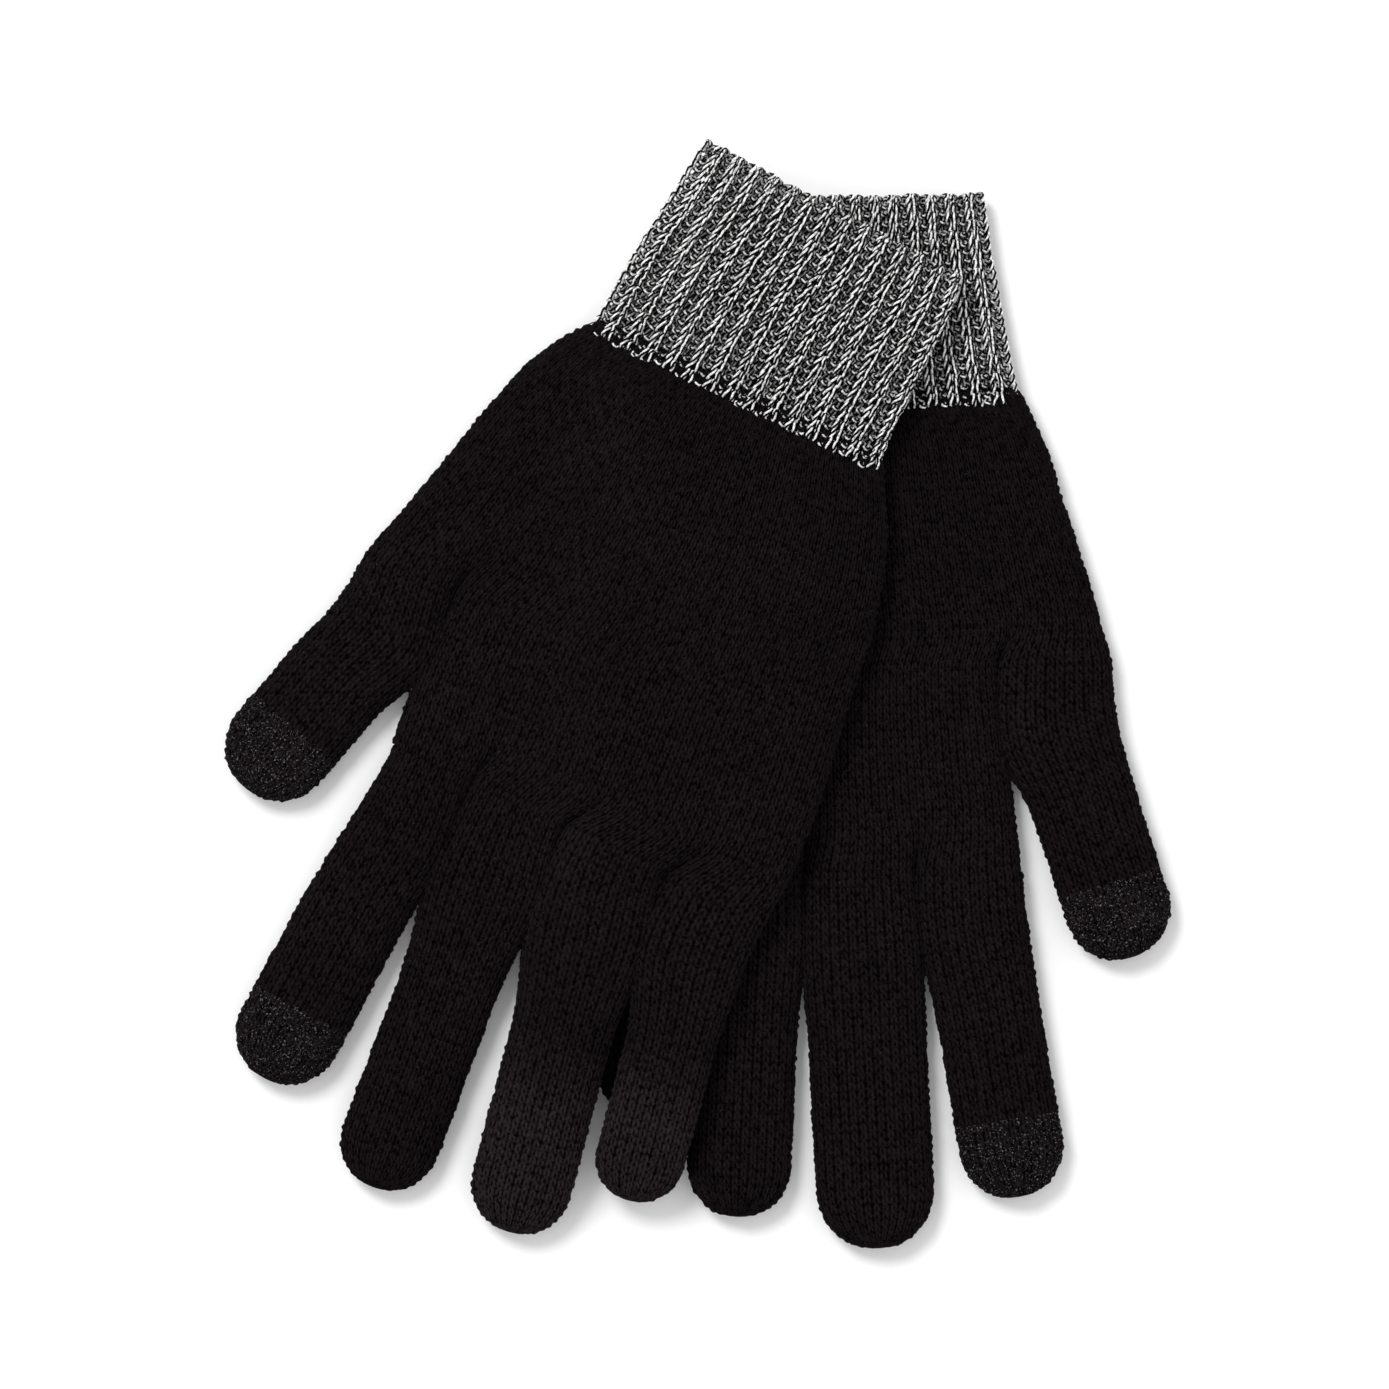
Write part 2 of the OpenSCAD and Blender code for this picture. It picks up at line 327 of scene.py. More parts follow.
def knit_tubes(glove):
    """The plain-knit tubes of a glove, by name."""
    tubes = {}
    lower = palm_rows(glove, "lower", ALONG, ACROSS)
    upper = palm_rows(glove, "upper", ALONG, ACROSS)
    stalls = {"thumb": (glove.thumb_v, glove.thumb)}
    for name, f in zip(FINGERS, glove.fingers):
        stalls[name] = (glove.root_v, f)
    grids = {}
    for name, (root_v, f) in stalls.items():
        cut = f.length - TOUCH_LEN if name in ("thumb", "index_finger") else f.length
        grids[name] = stall_rows(glove, root_v, f, 0, cut, ALONG, ACROSS)
        if cut < f.length:
            grids[name + "_tip"] = stall_rows(glove, root_v, f, cut, f.length, ALONG, ACROSS)
    n5, n4, nt = glove.lower_wales, glove.palm_wales, glove.thumb.wales
    tubes["lower_palm"] = Tube(lower, palm_rows(glove, "lower", 1, 1, FABRIC), n5,
                               after=joined([grids["thumb"][1], upper[1]]))
    tubes["upper_palm"] = Tube(upper, palm_rows(glove, "upper", 1, 1, FABRIC), n4,
                               before=group_of(lower[-2], n5, nt, n4),
                               after=joined([grids[f][1] for f in FINGERS]))
    first = 0
    for name, (root_v, f) in stalls.items():
        if name == "thumb":
            before = group_of(lower[-2], n5, 0, nt)
        else:
            before = group_of(upper[-2], n4, first, f.wales)
            first += f.wales
        has_tip = name + "_tip" in grids
        cut = f.length - TOUCH_LEN if has_tip else f.length
        after = grids[name + "_tip"][1] if has_tip else None
        inner = stall_rows(glove, root_v, f, 0, cut, 1, 1, FABRIC)
        tubes[name] = Tube(grids[name], inner, f.wales, before, after, not has_tip)
        if has_tip:
            short = name.replace("_finger", "")
            inner = stall_rows(glove, root_v, f, cut, f.length, 1, 1, FABRIC)
            tubes[short + "_touch_tip"] = Tube(grids[name + "_tip"], inner, f.wales,
                                               grids[name][-2], None, True)
    return tubes


def stitch_relief():
    """Height, 0 to 1, of the points of one stitch: a V of two legs whose foot lies towards the cuff."""
    x, y = np.arange(ACROSS) / ACROSS, np.arange(ALONG) / ALONG
    y, x = np.meshgrid(y, x, indexing="ij")
    out = np.zeros_like(x)
    for course in (-1, 0, 1):
        t = (y - course + 0.2) / 1.4
        inside = (t > 0) & (t < 1)
        along = np.sin(math.pi * np.clip(t, 0, 1)) ** 0.7
        for leg in (-1, 1):
            off = (x - 0.5 - leg * (0.04 + 0.34 * t)) / 0.2
            round_top = np.sqrt(np.clip(1 - off * off, 0, 1))
            out = np.maximum(out, np.where(inside, round_top * along, 0))
    return out / out.max()


def surface_normals(grid):
    """Outward unit normals of a grid of rings."""
    along = np.gradient(grid, axis=0)
    across = np.roll(grid, -1, axis=1) - np.roll(grid, 1, axis=1)
    n = np.cross(across, along)
    size = np.linalg.norm(n, axis=-1, keepdims=True)
    return n / np.maximum(size, 1e-12)


def outward(glove):
    """+1 or -1, whichever makes surface_normals() point out of this glove's tubes."""
    return -1.0 if glove.mirror > 0 else 1.0


def knitted(glove, tube, roughness):
    """A tube's outer face with its stitches raised, in metres, and how high each point is, 0 to 1."""
    rows = [tube.before] if tube.before is not None else []
    rows = np.concatenate([np.array(rows).reshape(-1, *tube.rows.shape[1:]), tube.rows,
                           tube.after[None] if tube.after is not None else tube.rows[:0]])
    placed = glove.lay_down(rows)
    normals = surface_normals(placed) * outward(glove)
    start = 1 if tube.before is not None else 0
    placed, normals = placed[start:start + len(tube.rows)], normals[start:start + len(tube.rows)]
    n_rows, n_cols = placed.shape[:2]
    cell = stitch_relief()
    # A tube's last course is its neighbour's first, so both take the height of a course's start.
    relief = cell[np.arange(n_rows) % ALONG][:, np.arange(n_cols) % ACROSS]
    at = placed / MM
    uneven = 1 + 0.42 * wobble(at, 2.4, 11)
    raise_by = RELIEF * (relief * uneven - 0.55)
    raise_by += roughness * (0.05 * wobble(at, 1.3, 5) + 0.05 * wobble(at, 5.0, 6))
    raise_by += 0.10 * wobble(at, 17.0, 7)
    if tube.tip:
        ring_size = np.linalg.norm(tube.rows.max(1) - tube.rows.min(1), axis=-1)
        raise_by *= smoothstep((ring_size - 3) / 9)[:, None]
    raised = placed + normals * (raise_by * MM)[..., None]
    raised[..., 2] = np.maximum(raised[..., 2], 0.02 * MM)
    return raised, relief


# --- Meshes -------------------------------------------------------------------------------
def make_object(name, points, groups, **values):
    """A mesh object from points, groups of (faces, uv) of one size each, and values for each point."""
    mesh = bpy.data.meshes.new(name)
    mesh.vertices.add(len(points))
    mesh.vertices.foreach_set("co", np.asarray(points, np.float32).ravel())
    corners = np.concatenate([f.ravel() for f, _ in groups]).astype(np.int32)
    sizes = np.concatenate([np.full(len(f), f.shape[1]) for f, _ in groups])
    starts = np.concatenate([[0], np.cumsum(sizes)[:-1]]).astype(np.int32)
    mesh.loops.add(len(corners))
    mesh.loops.foreach_set("vertex_index", corners)
    mesh.polygons.add(len(sizes))
    mesh.polygons.foreach_set("loop_start", starts)
    mesh.polygons.foreach_set("use_smooth", np.ones(len(sizes), bool))
    mesh.update(calc_edges=True)
    layer = mesh.uv_layers.new(name="OFBake")
    uv = np.concatenate([u.reshape(-1, 2) for _, u in groups]).astype(np.float32)
    layer.uv.foreach_set("vector", uv.ravel())
    for key, value in values.items():
        attribute = mesh.attributes.new(key, "FLOAT", "POINT")
        attribute.data.foreach_set("value", np.asarray(value, np.float32).ravel())
    mesh.validate()
    obj = bpy.data.objects.new(name, mesh)
    bpy.context.scene.collection.objects.link(obj)
    return obj


def grid_faces(rows, cols, first, total, wrap, u_span, v_span):
    """Quads over a block of a grid of rings, and their place on the map."""
    width = cols if wrap else cols - 1
    r, c = np.meshgrid(np.arange(rows - 1), np.arange(width), indexing="ij")
    c2 = (c + 1) % total if wrap else c + 1
    faces = np.stack([r * total + c, r * total + c2, (r + 1) * total + c2, (r + 1) * total + c], -1)
    u = u_span[0] + (u_span[1] - u_span[0]) * np.stack([c, c + 1, c + 1, c], -1) / width
    v = v_span[0] + (v_span[1] - v_span[0]) * np.stack([r, r, r + 1, r + 1], -1) / (rows - 1)
    return first + faces.reshape(-1, 4), np.stack([u, v], -1).reshape(-1, 4, 2)


def rim_faces(outer_first, inner_first, inner_cols, v_at):
    """Faces that join the end of an outer ring to that of an inner ring with one point a wale."""
    cell = np.arange(inner_cols)
    fine = (cell[:, None] * ACROSS + np.arange(ACROSS + 1)) % (inner_cols * ACROSS) + outer_first
    faces = np.concatenate([fine, np.stack([(cell + 1) % inner_cols, cell], -1) + inner_first], 1)
    left = cell[:, None]
    u = np.concatenate([left + np.arange(ACROSS + 1) / ACROSS, left + 1, left], 1)
    v = np.full(faces.shape, v_at)
    v[:, -2:] += 0.02
    return faces, np.stack([0.01 + 0.98 * u / inner_cols, v], -1)


def zip_faces(first, cols, v_at):
    """Faces that close a fingertip, from its back to its palm side."""
    n = cols // 2
    c = np.arange(n)
    under = (cols - c) % cols
    faces = np.stack([first + c, first + c + 1, first + (cols - c - 1) % cols, first + under], -1)
    u = 0.01 + 0.98 * np.stack([c, c + 1, c + 1, c], -1) / n
    v = np.broadcast_to(v_at + np.array([0, 0, 0.01, 0.01]), u.shape)
    uv = np.stack([u, v], -1)
    quads = (c > 0) & (c < n - 1)
    return [(faces[quads], uv[quads]),
            (faces[0][None, [0, 1, 2]], uv[0][None, :3]),
            (faces[n - 1][None, [0, 1, 3]], uv[n - 1][None, [0, 1, 3]])]


def turned(groups, flip):
    """The same faces, wound the other way if flip."""
    return [(f[:, ::-1], u[:, ::-1]) for f, u in groups] if flip else groups


def knit_object(name, glove, tube, roughness=1.0):
    """A closed shell of plain knit: stitches outside, a plain inner face, and rims at its ends."""
    outer, relief = knitted(glove, tube, roughness)
    inner = glove.lay_down(tube.inner)
    rows, cols = outer.shape[:2]
    in_rows, in_cols = inner.shape[:2]
    in_first = rows * cols
    rim = in_first + in_rows * in_cols
    points = np.concatenate([outer.reshape(-1, 3), inner.reshape(-1, 3), outer[0], outer[-1]])
    groups = [grid_faces(rows, cols, 0, cols, True, (0.01, 0.99), (0.01, 0.86))]
    inside = grid_faces(in_rows, in_cols, in_first, in_cols, True, (0.01, 0.99), (0.91, 0.97))
    groups += turned([inside], True)
    groups += turned([rim_faces(rim, in_first, in_cols, 0.875)], True)
    last, in_last = (rows - 1) * cols, in_first + (in_rows - 1) * in_cols
    if tube.tip:
        groups += zip_faces(last, cols, 0.98)
        groups += turned(zip_faces(in_last, in_cols, 0.993), True)
    else:
        groups += [rim_faces(rim + cols, in_last, in_cols, 0.98)]
    plain = np.full(in_rows * in_cols, 0.4)
    heights = np.concatenate([relief.ravel(), plain, relief[0], relief[-1]])
    # Painted light: paler colour over the outer part of the left ring and little fingers.
    worn = np.zeros(rows * cols)
    if name in PAINTED_LIGHT_FINGERS:
        along = np.linspace(0, 1, rows)
        worn = np.repeat(smoothstep((along - PAINTED_LIGHT_FROM) / PAINTED_LIGHT_OVER), cols)
    worn = np.concatenate([worn, plain * 0, np.zeros(2 * cols)])
    return make_object(name, points, turned(groups, glove.mirror < 0), relief=heights, worn=worn)


# --- Rib cuff -----------------------------------------------------------------------------
class RibSurface:
    """The middle of the cuff's yarn as a smooth surface: places and normals at any wale and v."""

    def __init__(self, glove):
        self.wales = 2 * RIBS
        self.vs = np.linspace(-52.0, 3.0, 56)
        self.across = 8
        rows = []
        for v in self.vs:
            left = float(glove.cuff_left(v)) + CUFF_INSET
            right = float(glove.cuff_right(v)) - CUFF_INSET
            slant = glove.mouth_slant * v
            rows.append(ring((left, v + slant), (right, v - slant), MID_H - CUFF_INSET, RIBS, self.across))
        self.placed = glove.lay_down(np.array(rows))
        self.normals = surface_normals(self.placed) * outward(glove)

    def at(self, wale, v):
        """Place and normal, in metres, at wale numbers and v."""
        r = np.clip((v - self.vs[0]) / (self.vs[1] - self.vs[0]), 0, len(self.vs) - 1.001)
        c = (wale % self.wales) * self.across
        r0, c0 = np.floor(r).astype(int), np.floor(c).astype(int)
        fr, fc = (r - r0)[..., None], (c - c0)[..., None]
        n = self.placed.shape[1]
        out = []
        for grid in (self.placed, self.normals):
            a, b = grid[r0, c0 % n], grid[r0, (c0 + 1) % n]
            d, e = grid[r0 + 1, c0 % n], grid[r0 + 1, (c0 + 1) % n]
            out.append((a * (1 - fc) + b * fc) * (1 - fr) + (d * (1 - fc) + e * fc) * fr)
        out[1] /= np.linalg.norm(out[1], axis=-1, keepdims=True)
        return out


def yarn_course(surface, v, seed, rise=LOOP_RISE, depth=LOOP_DEPTH, rib=RIB_DEPTH, lift=0.0, scallop=0.0):
    """The middle line of one course of 1x1 rib, the normals along it, and how far out it lies.

    t turns once round for each wale: a loop's head is at 0, its legs a quarter turn away and its
    feet at half a turn. front goes from 1 in a knit wale to -1 in a purl one.
    """
    wales = surface.wales
    n = wales * LOOP_POINTS
    place = np.arange(n) / LOOP_POINTS
    t = 2 * math.pi * place
    rng = np.random.default_rng(seed)
    jitter = rng.normal(0, 1, (3, wales))
    soft = [np.interp(place, np.arange(wales + 1), np.append(j, j[0])) for j in jitter]
    front = np.tanh(2.2 * np.cos(t / 2)) / math.tanh(2.2)
    slant = LOOP_SLANT * (0.8 + 0.2 * front) * (1 + 0.15 * soft[0])
    wale = place + RIB_SWELL * np.sin(t / 2) + slant * np.sin(2 * t) / WALE + 0.05 * soft[1]
    along = v + rise * (1.15 * np.cos(t) - 0.15 * np.cos(3 * t)) + 0.26 * soft[2]
    along -= scallop * (0.5 + 0.5 * front)
    points, normal = surface.at(wale, along)
    half = np.abs((t + math.pi) % (2 * math.pi) - math.pi)
    tilt = 0.75 * np.sin(2 * half) * np.sin(half)
    sunk_head = np.where(front > 0, 0.45, 0.3) * np.clip(np.cos(half), 0, 1) ** 2
    sunk_foot = 0.5 * ((1 - np.cos(half)) / 2) ** 8
    out = front * (rib - depth * (np.cos(2 * half) + tilt)) - sunk_head - sunk_foot + 0.12 * soft[0]
    out += lift * np.cos(half / 2)
    out *= 0.4 + 0.6 * np.abs(normal[:, 2])     # the loops lie closer at the folded sides
    return points + normal * (out * MM)[:, None], normal, out


def strand(path, normal, phase, radius, offset):
    """Rings of points round one of the strands that twist about a closed path."""
    tangent = np.roll(path, -1, axis=0) - np.roll(path, 1, axis=0)
    tangent /= np.linalg.norm(tangent, axis=1, keepdims=True)
    side = np.cross(tangent, normal)
    side /= np.linalg.norm(side, axis=1, keepdims=True)
    up = np.cross(side, tangent)
    mid = path + offset * (np.cos(phase)[:, None] * up + 0.75 * np.sin(phase)[:, None] * side)
    q = 2 * math.pi * np.arange(STRAND_SIDES)[None, :, None] / STRAND_SIDES
    return mid[:, None] + radius * (np.cos(q) * up[:, None] + np.sin(q) * side[:, None])


def strand_object(name, courses):
    """Closed tubes of yarn, one for each course, from (rings of points, how far out each ring lies)."""
    points, faces, uvs, heights = [], [], [], []
    first = 0
    for k, (rings, out) in enumerate(courses):
        n, m = rings.shape[:2]
        a, b = np.meshgrid(np.arange(n), np.arange(m), indexing="ij")
        a2, b2 = (a + 1) % n, (b + 1) % m
        faces.append(first + np.stack([a * m + b, a2 * m + b, a2 * m + b2, a * m + b2], -1).reshape(-1, 4))
        u = np.stack([a, a + 1, a + 1, a], -1) / n
        v = (k + 0.05 + 0.9 * np.stack([b, b, b + 1, b + 1], -1) / m) / len(courses)
        uvs.append(np.stack([0.005 + 0.99 * u, v], -1).reshape(-1, 4, 2))
        points.append(rings.reshape(-1, 3))
        heights.append(np.repeat(out, m))
        first += n * m
    return make_object(name, np.concatenate(points), [(np.concatenate(faces), np.concatenate(uvs))],
                       height=np.concatenate(heights))


def twist(n, seed):
    """How far the yarn has turned at each point of a course: two turns a loop, and some chance."""
    rng = np.random.default_rng(seed)
    place = np.arange(n) / LOOP_POINTS
    knots = np.arange(2 * n // LOOP_POINTS + 1) / 2
    chance = rng.normal(0, 1.1, len(knots) - 1)
    return 4 * math.pi * place + np.interp(place, knots, np.append(chance, chance[0]))


def rib_courses(surface, vs, seed, **shape):
    """Light and dark strands of the courses at vs. The course next to the hand lies over its edge."""
    light, dark = [], []
    for k, v in enumerate(vs):
        course = FIRST_COURSE if k == 0 and not shape else shape
        path, normal, out = yarn_course(surface, v, seed + k, **course)
        phase = twist(len(path), seed + 500 + k)
        for i, strands in enumerate((light, dark, light, dark)):
            turned = phase + i * math.pi / 2
            rings = strand(path, normal, turned, STRAND_R * MM, STRAND_OFF * MM)
            strands.append((rings, out + STRAND_OFF * np.cos(turned)))
    return light, dark


def elastic_object(name, surface, vs):
    """Elastic threads lying inside the rib."""
    rings = []
    for v in vs:
        wale = np.linspace(0, surface.wales, 240, endpoint=False)
        place, normal = surface.at(wale, v + 0.25 * np.sin(wale * math.pi))
        inside = place - normal * (ELASTIC_IN + 0.1 * np.cos(wale * math.pi))[:, None] * MM
        thread = strand(inside, normal, np.zeros(len(wale)), ELASTIC_R * MM, 0.0)
        rings.append((thread, np.ones(len(wale))))
    return strand_object(name, rings)


# --- Materials ----------------------------------------------------------------------------
class Nodes:
    """Short calls for building a material's nodes."""

    def __init__(self, name):
        self.material = bpy.data.materials.new(name)
        self.material.use_nodes = True
        self.tree = self.material.node_tree
        self.shader = self.tree.nodes["Principled BSDF"]

    def add(self, kind, **values):
        node = self.tree.nodes.new(kind)
        for key, value in values.items():
            if key in node.inputs:
                node.inputs[key].default_value = value
            else:
                setattr(node, key, value)
        return node

    def link(self, a, b):
        self.tree.links.new(a, b)

    def noise(self, vector, scale, detail=3.0, roughness=0.6):
        node = self.add("ShaderNodeTexNoise", Scale=scale, Detail=detail, Roughness=roughness)
        self.link(vector, node.inputs["Vector"])
        return node.outputs["Fac"]

    def ramp(self, factor, stops):
        node = self.add("ShaderNodeValToRGB")
        for i, (place, colour) in enumerate(stops):
            e = node.color_ramp.elements[i] if i < 2 else node.color_ramp.elements.new(place)
            e.position, e.color = place, (*colour, 1)
        self.link(factor, node.inputs["Fac"])
        return node.outputs["Color"]

    def math(self, operation, a, b):
        node = self.add("ShaderNodeMath", operation=operation)
        for i, x in enumerate((a, b)):
            if isinstance(x, (int, float)):
                node.inputs[i].default_value = x
            else:
                self.link(x, node.inputs[i])
        return node.outputs[0]

    def mix(self, factor, a, b):
        node = self.add("ShaderNodeMix", data_type="RGBA")
        for key, x in ((0, factor), (6, a), (7, b)):
            if isinstance(x, (int, float)):
                node.inputs[key].default_value = x
            elif isinstance(x, tuple):
                node.inputs[key].default_value = (*x, 1)
            else:
                self.link(x, node.inputs[key])
        return node.outputs[2]

    def bump(self, height, strength, distance):
        node = self.add("ShaderNodeBump", Strength=strength, Distance=distance)
        self.link(height, node.inputs["Height"])
        self.link(node.outputs["Normal"], self.shader.inputs["Normal"])

    def position(self):
        return self.add("ShaderNodeTexCoord").outputs["Object"]

    def attribute(self, name):
        return self.add("ShaderNodeAttribute", attribute_name=name).outputs["Fac"]


def knit_material(name, deep, high, fleck, fleck_share, worn=1.0):
    """Brushed knit with fine fibres: painted shade between the stitches, painted light on them and on the
    paler fingers, and scattered flecks that are partly lighter fibres and partly painted glints.
    """
    m = Nodes(name)
    where = m.position()
    grain = m.noise(where, 700, 4, 0.7)
    # Painted shade and light: the stitch relief darkens the colour between the stitches and lightens it on
    # their tops; the fine grain is the fibres' own tone.
    height = m.math("ADD", m.math("MULTIPLY", m.attribute("relief"), 0.42), m.math("MULTIPLY", grain, 1.15))
    body = m.ramp(height, [(0.60, deep), (1.05, high)])
    cloudy = m.math("ADD", m.math("MULTIPLY", m.noise(where, 45, 2), 0.5), 0.68)
    # The paler colour added here is painted light; the cloudy noise is the knit's own uneven tone.
    pale = m.math("ADD", m.math("MULTIPLY", m.attribute("worn"), worn), cloudy)
    tinted = m.add("ShaderNodeMix", data_type="RGBA", blend_type="MULTIPLY")
    tinted.inputs[0].default_value = 1
    m.link(body, tinted.inputs[6])
    m.link(pale, tinted.inputs[7])
    # The flecks are partly lighter fibres and partly painted glints of the fibres.
    fine = m.noise(where, 2100, 3, 0.7)
    flecks = m.ramp(fine, [(fleck_share, (0, 0, 0)), (min(1.0, fleck_share + 0.1), (1, 1, 1))])
    m.link(m.mix(flecks, tinted.outputs[2], fleck), m.shader.inputs["Base Color"])
    m.shader.inputs["Roughness"].default_value = 0.95
    m.shader.inputs["Specular IOR Level"].default_value = 0.015
    m.shader.inputs["Sheen Weight"].default_value = 0.01
    m.shader.inputs["Sheen Roughness"].default_value = 0.5
    m.shader.inputs["Sheen Tint"].default_value = (0.9, 0.84, 0.87, 1)
    m.bump(m.math("ADD", m.math("MULTIPLY", fine, 0.5), grain), 0.8, 0.0006)
    return m.material


def strand_material(name, dark, light, low):
    """A strand of the marled yarn, with streaks of fibre. Painted shade deep in the rib leaves only the
    share low of its colour.
    """
    m = Nodes(name)
    where = m.position()
    fine = m.noise(where, 1500, 4, 0.7)
    fibre = m.ramp(fine, [(0.34, dark), (0.56, light)])
    # Painted shade: the lower a strand lies in the rib, the darker its colour, down to the share low.
    depth = m.math("ADD", m.math("MULTIPLY", m.attribute("height"), 0.5), 0.5)
    shade = m.ramp(depth, [(0.30, (low, low, low)), (0.85, (1, 1, 1))])
    tinted = m.add("ShaderNodeMix", data_type="RGBA", blend_type="MULTIPLY")
    tinted.inputs[0].default_value = 1
    m.link(fibre, tinted.inputs[6])
    m.link(shade, tinted.inputs[7])
    m.link(tinted.outputs[2], m.shader.inputs["Base Color"])
    m.shader.inputs["Roughness"].default_value = 0.9
    m.shader.inputs["Specular IOR Level"].default_value = 0.03
    m.bump(m.noise(where, 2600, 3, 0.7), 0.5, 0.0002)
    return m.material


def stage_material(name, colour):
    """A dull, nearly even colour."""
    m = Nodes(name)
    m.link(m.ramp(m.noise(m.position(), 3, 2), [(0.3, colour), (0.7, tuple(0.995 * c for c in colour))]),
           m.shader.inputs["Base Color"])
    m.shader.inputs["Roughness"].default_value = 0.9
    m.shader.inputs["Specular IOR Level"].default_value = 0.0
    return m.material


# --- Assembly -----------------------------------------------------------------------------
def finish_piece(obj, material, nodes, body=None, bend=None):
    """Material, the CAD nodes that obj stands for, and the body it moves with; a bending piece instead has
    its place baked into its points.
    """
    obj.data.materials.append(material)
    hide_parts(*nodes)
    if bend:
        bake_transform(obj)
    else:
        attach(obj, body)


def hinge_of(body):
    """The hinge that carries a body."""
    return next((j for j in frame["joints"] if j["child"] == body and j["type"] == "hinge"), None)


def build_knit(glove, looks):
    """The black and the conductive parts of a glove."""
    side = glove.side
    hand = f"{side}_glove"
    for name, tube in knit_tubes(glove).items():
        node = f"{side}_{name}"
        is_tip = name.endswith("touch_tip")
        obj = knit_object(node, glove, tube, TOUCH_ROUGHNESS if is_tip else 1.0)
        material, slot = (looks["touch"], "touch_knit") if is_tip else (looks["black"], "black_knit")
        stall_body = node.replace("index_touch_tip", "index_finger").replace("thumb_touch_tip", "thumb")
        hinge = hinge_of(stall_body)
        if hinge is None:
            finish_piece(obj, material, [node], body=hand)
        elif is_tip:
            finish_piece(obj, material, [node], body=stall_body)
        else:
            start = np.array(hinge["pos_m"])
            end = start + glove.direction(0, 1) * 15 * MM
            finish_piece(obj, material, [node], bend=(hand, stall_body, tuple(start), tuple(end)))


def build_cuff(glove, looks, seed):
    """The rib cuff of a glove as four-strand yarn, its start-up edge and its elastic."""
    side = glove.side
    hand = f"{side}_glove"
    surface = RibSurface(glove)
    vs = 0.2 - glove.cuff_course * np.arange(CUFF_COURSES)
    light, dark = rib_courses(surface, vs, seed)
    for name, strands in (("light", light), ("dark", dark)):
        obj = strand_object(f"{side}_cuff_{name}_strand", strands)
        finish_piece(obj, looks[name], [f"{side}_cuff"], body=hand)
    edge_v = vs[-1] - np.array([0.75, 1.0]) * glove.cuff_course * 0.8
    light, dark = rib_courses(surface, edge_v, seed + 90, **EDGE_COURSE)
    for name, strands in (("light", light), ("dark", dark)):
        obj = strand_object(f"{side}_cuff_edge_{name}_strand", strands)
        finish_piece(obj, looks[name], [f"{side}_cuff_edge"], body=hand)
    threads = elastic_object(f"{side}_cuff_elastic", surface, vs[3::3] - glove.cuff_course / 2)
    finish_piece(threads, looks["elastic"], [f"{side}_cuff_elastic"], body=hand)


def area_light(name, place, size, power):
    """A round lamp that points at the origin."""
    data = bpy.data.lights.new(name, "AREA")
    data.shape, data.size, data.energy = "DISK", size, power
    obj = bpy.data.objects.new(name, data)
    bpy.context.scene.collection.objects.link(obj)
    obj.location = place
    obj.rotation_euler = (-Vector(place)).to_track_quat("-Z", "Y").to_euler()


def build_stage():
    """A pale floor, soft light from the upper left, and a camera straight above."""
    scene = bpy.context.scene
    half = 4.0
    corners = np.array([[0, 0], [1, 0], [1, 1], [0, 1]])
    points = np.append((2 * corners - 1) * half, np.zeros((4, 1)), 1)
    floor = make_object("floor", points, [(np.array([[0, 1, 2, 3]]), corners[None])])
    floor.location.z = -0.0002
    floor.data.materials.append(stage_material("floor_white", (0.97, 0.97, 0.97)))
    world = bpy.data.worlds.new("studio")
    scene.world = world
    world.use_nodes = True
    world.node_tree.nodes["Background"].inputs["Color"].default_value = (1, 1, 1, 1)
    world.node_tree.nodes["Background"].inputs["Strength"].default_value = 0.86
    area_light("key", (-0.65, 0.85, 1.55), 0.7, 19)
    scene.view_settings.view_transform = "Standard"
    frame_w = 0.32336                       # m of table across the picture
    data = bpy.data.cameras.new("camera")
    data.sensor_width, data.lens = 36, 200
    distance = frame_w * data.lens / data.sensor_width
    data.clip_start, data.clip_end = 0.05, 20
    camera = bpy.data.objects.new("camera", data)
    scene.collection.objects.link(camera)
    camera.location = (-0.00055, 0.0003, distance + 0.01)
    scene.camera = camera


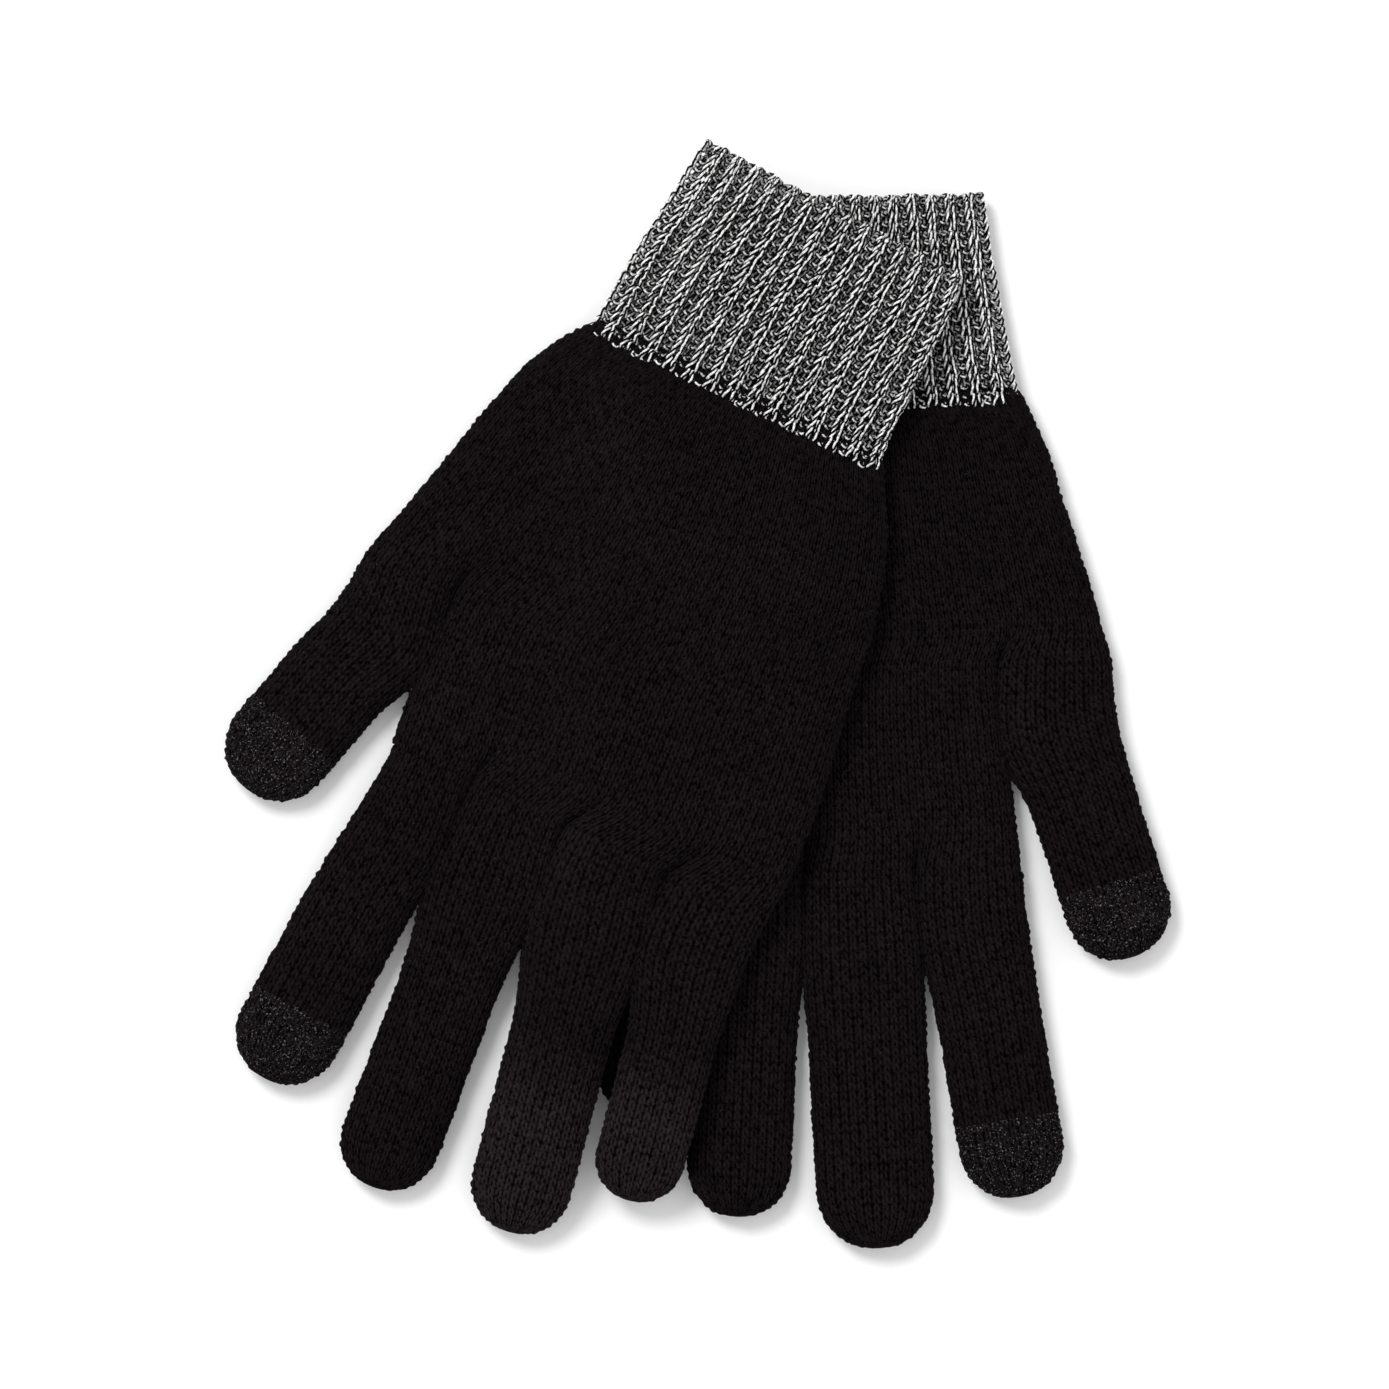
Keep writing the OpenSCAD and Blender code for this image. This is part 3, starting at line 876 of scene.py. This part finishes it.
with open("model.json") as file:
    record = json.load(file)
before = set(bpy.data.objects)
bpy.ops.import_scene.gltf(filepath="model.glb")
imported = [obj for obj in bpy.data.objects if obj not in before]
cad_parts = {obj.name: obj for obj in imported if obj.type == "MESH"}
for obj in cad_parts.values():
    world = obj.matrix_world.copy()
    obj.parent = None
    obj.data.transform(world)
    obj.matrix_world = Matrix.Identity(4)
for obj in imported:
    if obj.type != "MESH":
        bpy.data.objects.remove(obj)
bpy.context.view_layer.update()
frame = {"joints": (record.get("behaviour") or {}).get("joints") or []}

RIGHT = Glove(
    "right", seam=(38.2, 68.2), turn=182.0, mirror=-1, draped=False, thumb_v=62.6, root_v=110.4,
    thumb_side=[(-3, -37), (0, -38.2), (12, -43), (24, -46.4), (36, -49.8), (48, -53),
                (62.6, -56.5), (66, -57.3)],
    palm_side=[(55, -30), (62.6, -29.8), (80, -31), (95, -32.4), (112, -33.8)],
    little_side=[(-3, 37), (0, 38.2), (27, 46.5), (52, 52), (90, 59.6), (112, 60.4)],
    thumb=Stall(-56.5, -29.8, -15.7, 24.6, 70.8, 14),
    fingers=[Stall(-34, -9, -7.6, 24.2, 76.5, 14), Stall(-9, 17.4, -1.1, 27.4, 86.8, 15),
             Stall(17.4, 42.4, 4.4, 24.2, 78.5, 14), Stall(42.4, 60.4, 8, 20, 54, 12)],
    cuff_left=[(-52, -31.4), (-40, -32.4), (-20, -35), (0, -38), (3, -38.4)],
    cuff_right=[(-52, 33.2), (-40, 33.8), (-20, 36), (0, 38.2), (3, 38.6)],
    mouth_slant=-0.012, cuff_course=2.26, finger_swell=0.8, thumb_swell=2.4)
LEFT = Glove(
    "left", seam=(9.3, 69.3), turn=153.8, mirror=1, draped=True, thumb_v=71.6, root_v=107.6,
    thumb_side=[(-3, -37.4), (0, -39), (5, -42.7), (10, -45.6), (25, -50.6), (40, -54.2), (55, -57.8),
                (71.6, -62.0), (75, -62.8)],
    palm_side=[(65, -38.9), (71.6, -38.9), (90, -38.6), (110, -36.4)],
    little_side=[(-3, 37), (0, 38.2), (14, 45.5), (28, 50.6), (52, 54.8), (90, 60), (110, 59.8)],
    thumb=Stall(-62.0, -38.9, -14.8, 25.2, 62, 14),
    fingers=[Stall(-36.1, -15.9, -2.3, 24.4, 83.4, 14), Stall(-15.9, 8.1, 5.9, 23, 95.4, 15),
             Stall(8.1, 34.3, 11.6, 23.4, 92, 14), Stall(34.3, 59.8, 11.4, 20.5, 72.5, 12)],
    cuff_left=[(-52, -33.8), (-40, -35), (-20, -37.4), (0, -39), (3, -39.4)],
    cuff_right=[(-52, 35.6), (-46, 36.8), (-20, 37.4), (0, 38.3), (3, 38.7)],
    mouth_slant=0.026, cuff_course=2.3, finger_swell=2.2, thumb_swell=3.6)

LOOKS = {
    "black": knit_material("black_knit", (0.0003, 0.0002, 0.0003), (0.0112, 0.0084, 0.0096),
                           (0.06, 0.050, 0.054), 0.65, 1.1),
    "touch": knit_material("touch_knit", (0.0003, 0.0002, 0.0003), (0.0125, 0.0100, 0.0110),
                           (0.24, 0.218, 0.227), 0.60),
    "light": strand_material("marl_light_strand", (0.15, 0.15, 0.148), (1.0, 1.0, 0.995), 0.26),
    "dark": strand_material("marl_dark_strand", (0.0009, 0.0008, 0.001), (0.006, 0.0055, 0.0058), 1.0),
    "elastic": strand_material("elastic_thread", (0.35, 0.34, 0.32), (0.5, 0.49, 0.46), 1.0),
}

for number, one in enumerate((RIGHT, LEFT)):
    build_knit(one, LOOKS)
    build_cuff(one, LOOKS, 1000 * (number + 1))
build_stage()
